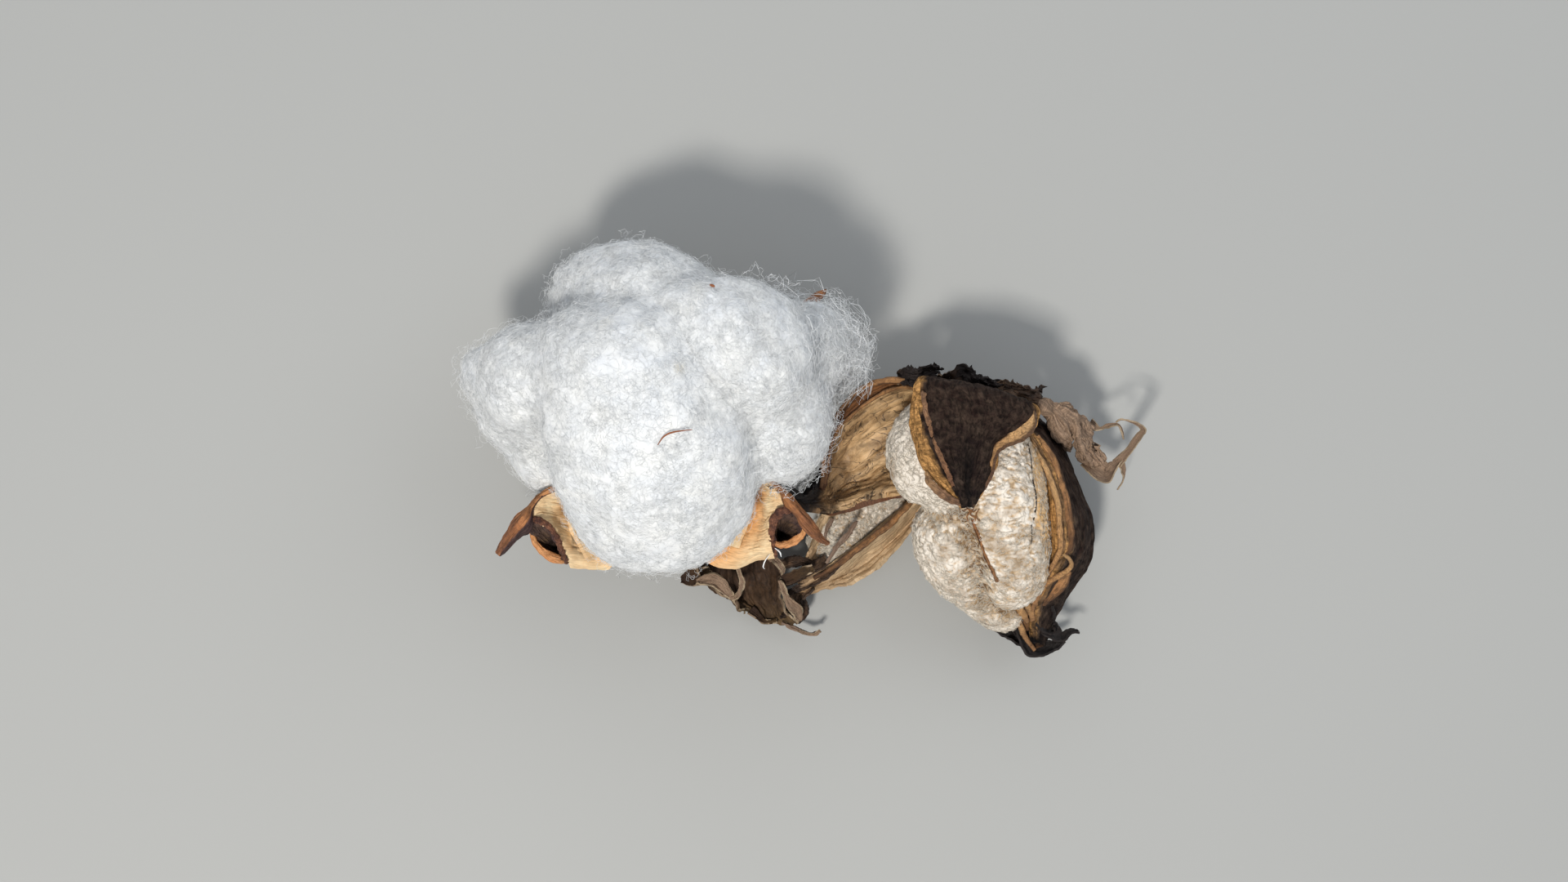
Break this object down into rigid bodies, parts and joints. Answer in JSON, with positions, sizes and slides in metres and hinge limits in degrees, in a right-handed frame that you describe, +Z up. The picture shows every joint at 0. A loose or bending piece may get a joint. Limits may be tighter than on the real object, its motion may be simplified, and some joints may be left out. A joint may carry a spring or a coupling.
{
  "type": "pair of cotton bolls",
  "caption": "Picked cotton bolls side by side: an open boll of loose white lint, and a boll dried shut with dark valves and matted locks.",
  "frame": {"origin": "middle of the pair's footprint, on the surface that they lie on", "axes": "+X from the open boll towards the dried one, +Y towards the open boll's back, +Z up"},
  "size_m": [0.1082, 0.0662, 0.0514],
  "materials": {
    "lint": "loose white fibre",
    "dry_lock": "matted, weathered fibre",
    "valve": "dry husk, cream inside, brown rims",
    "dry_valve": "dark weathered husk, tan inside",
    "bract": "thin dried leaf, matt",
    "stalk": "dried stalk, matt"
  },
  "bodies": {
    "root": {"seat": "stalk", "dry_seat": "stalk", "valve_lower_left": "valve", "valve_lower_right": "valve", "valve_upper_right": "valve", "valve_upper_left": "valve", "dry_valve_upper": "dry_valve", "dry_valve_left": "dry_valve", "dry_valve_lower_left": "dry_valve", "dry_valve_right": "dry_valve", "bract_front": "bract", "bract_left": "bract", "bract_back": "bract", "dry_bract_right": "bract", "dry_bract_top": "bract", "dry_bract_under": "bract", "lock_front": "lint", "lock_right": "lint", "lock_top": "lint", "lock_left": "lint", "dry_lock_left": "dry_lock", "dry_lock_lower": "dry_lock", "dry_lock_right": "dry_lock", "dry_lock_stuck": "dry_lock"}
  },
  "joints": []
}
